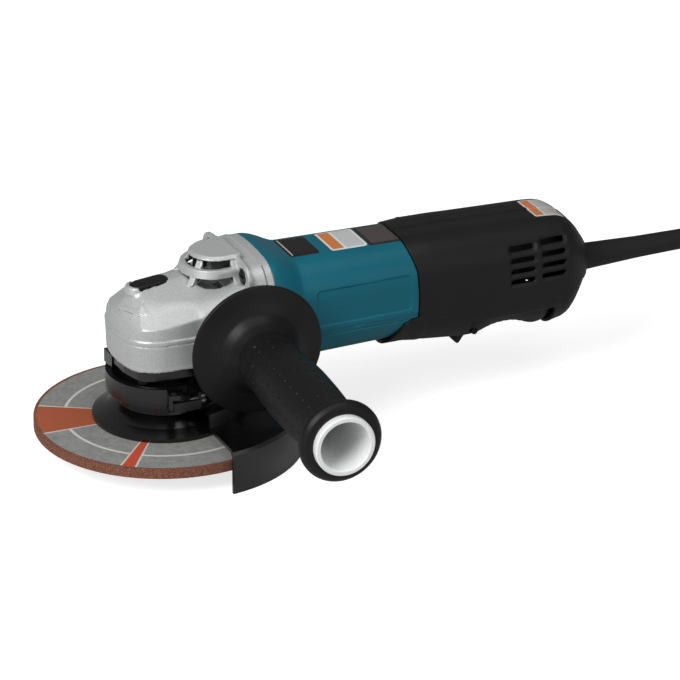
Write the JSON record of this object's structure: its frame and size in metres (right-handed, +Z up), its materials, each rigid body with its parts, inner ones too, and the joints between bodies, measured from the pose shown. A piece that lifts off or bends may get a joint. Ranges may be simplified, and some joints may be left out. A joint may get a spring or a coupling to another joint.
{
  "type": "angle grinder",
  "caption": "Corded angle grinder with paddle switch, depressed-centre wheel, clamped guard, side handle, bevel gearing and motor inside.",
  "frame": {"origin": "spindle axis at the grinding wheel's lower working face", "axes": "+X from the gear head to the cord, along the motor axis; +Z up along the spindle, away from the wheel; the side handle is on -Y"},
  "size_m": [0.6155, 0.2886, 0.1154],
  "materials": {
    "die_cast": "satin",
    "teal_plastic": "satin",
    "black_plastic": "matte",
    "grip_plastic": "matte",
    "white_plastic": "satin",
    "black_metal": "gloss",
    "steel": "ground",
    "bearing_steel": "polished",
    "lamination": "satin",
    "copper": "enamelled wire",
    "carbon": "matte",
    "abrasive": "rough",
    "rubber": "matte",
    "brass": "polished",
    "filter_blue": "satin"
  },
  "bodies": {
    "housing": {"bearing_box": "black_metal", "bearing_box_screws": "steel", "spindle_bearing_lower": "bearing_steel", "spindle_bearing_upper": "bearing_steel", "gear_housing": "die_cast", "gear_housing_screws": "black_metal", "lock_spring": "steel", "motor_housing": "teal_plastic", "stator_core": "lamination", "stator_windings": "copper", "air_baffle": "black_plastic", "motor_bearing_front": "bearing_steel", "motor_bearing_rear": "bearing_steel", "brush_holders": "brass", "carbon_brushes": "carbon", "brush_springs": "steel", "rear_housing_left": "black_plastic", "rear_housing_right": "black_plastic", "rear_housing_screws": "steel", "switch_body": "black_plastic", "noise_filter": "filter_blue", "paddle_pin": "steel", "paddle_spring": "steel", "side_grip": "grip_plastic", "side_handle_core": "white_plastic", "side_handle_stud": "steel", "cord_clamp": "black_plastic", "cord_clamp_screws": "steel", "cord_guard": "rubber", "cord_tail": "rubber", "cord": "rubber", "cord_coil": "rubber", "plug_body": "rubber", "plug_blades": "brass"},
    "spindle_group": {"spindle": "steel", "bevel_gear": "steel", "gear_key": "steel", "gear_clip": "steel", "backing_flange": "black_metal", "grinding_wheel": "abrasive", "lock_nut": "steel"},
    "armature_group": {"armature_shaft": "steel", "armature_core": "lamination", "armature_windings": "copper", "commutator": "copper", "fan": "black_plastic", "bevel_pinion": "steel", "pinion_nut": "steel"},
    "guard": {"guard_shell": "black_metal", "guard_band": "black_metal", "guard_adjusting_screw": "steel", "guard_lever_pin": "steel"},
    "guard_lever": {"guard_lever": "black_metal"},
    "shaft_lock": {"lock_button": "black_plastic", "lock_pin": "steel"},
    "paddle": {"paddle": "black_plastic", "lock_off_pin": "steel"},
    "lock_off": {"lock_off_lever": "black_plastic"},
    "switch_plunger": {"switch_plunger": "white_plastic"}
  },
  "joints": [
    {"name": "spindle_spin", "type": "hinge", "parent": "housing", "child": "spindle_group", "pos_m": [0, 0, 0], "axis": [0, 0, 1], "continuous": true},
    {"name": "armature_spin", "type": "hinge", "parent": "housing", "child": "armature_group", "pos_m": [0, 0, 0.064], "axis": [1, 0, 0], "continuous": true},
    {"name": "guard_turn", "type": "hinge", "parent": "housing", "child": "guard", "pos_m": [0, 0, 0.031], "axis": [0, 0, 1], "range_deg": [-110, 0]},
    {"name": "guard_lever_swing", "type": "hinge", "parent": "guard", "child": "guard_lever", "pos_m": [-0.00947, -0.03799, 0.031], "axis": [0, 0, -1], "range_deg": [0, 100]},
    {"name": "shaft_lock_press", "type": "slide", "parent": "housing", "child": "shaft_lock", "axis": [0, 0, -1], "range_m": [0, 0.005], "stiffness_N_per_m": 600, "springref_m": -0.004, "deforming": ["lock_spring"]},
    {"name": "paddle_press", "type": "hinge", "parent": "housing", "child": "paddle", "pos_m": [0.184, 0, 0.033], "axis": [0, -1, 0], "range_deg": [0, 6.5], "stiffness_Nm_per_rad": 2.5, "springref_deg": -5.73, "deforming": ["paddle_spring"]},
    {"name": "lock_off_tilt", "type": "hinge", "parent": "paddle", "child": "lock_off", "pos_m": [0.196, 0, 0.032], "axis": [0, 1, 0], "range_deg": [0, 12], "stiffness_Nm_per_rad": 0.05, "springref_deg": -17.19},
    {"name": "switch_plunger_slide", "type": "slide", "parent": "housing", "child": "switch_plunger", "axis": [0, 0, 1], "range_m": [0, 0.0025]}
  ],
  "couplings": [
    {"joint": "armature_spin", "follows": "spindle_spin", "ratio": 3.5556},
    {"joint": "switch_plunger_slide", "follows": "paddle_press", "m_per_rad": 0.02}
  ]
}
